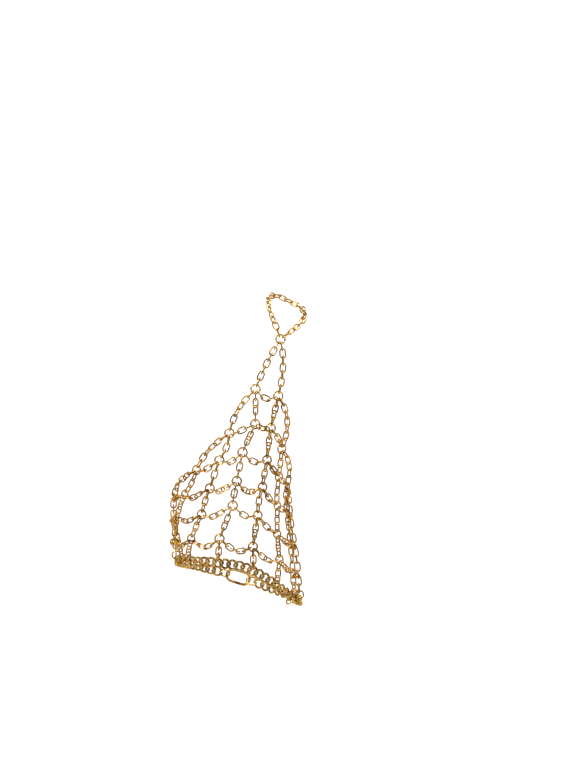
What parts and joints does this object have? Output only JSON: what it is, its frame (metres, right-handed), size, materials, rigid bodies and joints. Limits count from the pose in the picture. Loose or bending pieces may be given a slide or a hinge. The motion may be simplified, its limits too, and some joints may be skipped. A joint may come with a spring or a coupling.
{
  "type": "hand chain bracelet",
  "caption": "Net of fine oval-link chain worn over the back of the hand, from a loop round the middle finger to a flat curb chain round the wrist.",
  "frame": {"origin": "middle of the wrist loop, where the wrist sits", "axes": "+Z along the hand towards the fingers, -Y out of the back of the hand, +X to the little finger's side of a right hand"},
  "size_m": [0.0677, 0.0473, 0.1528],
  "materials": {
    "links": "polished gold plate",
    "rings": "polished gold plate",
    "curb": "polished gold plate",
    "fastening": "polished gold plate"
  },
  "bodies": {
    "root": {"curb_chain": "curb", "clasp": "fastening", "clasp_ring_left": "fastening", "clasp_ring_right": "fastening", "end_ring": "rings", "finger_loop": "links", "knuckle_ring": "rings", "lead_left": "links", "lead_right": "links", "edge_left": "links", "edge_right": "links", "column_1": "links", "column_2": "links", "column_3": "links", "column_4": "links", "column_5": "links", "column_6": "links", "column_7": "links", "column_8": "links", "rings_1": "rings", "rings_2": "rings", "rings_3": "rings", "rings_4": "rings", "rings_5": "rings", "rings_6": "rings", "cross_chain_1": "links", "cross_chain_2": "links", "cross_chain_3": "links", "cross_chain_4": "links", "cross_chain_5": "links", "cross_chain_6": "links"}
  },
  "joints": []
}
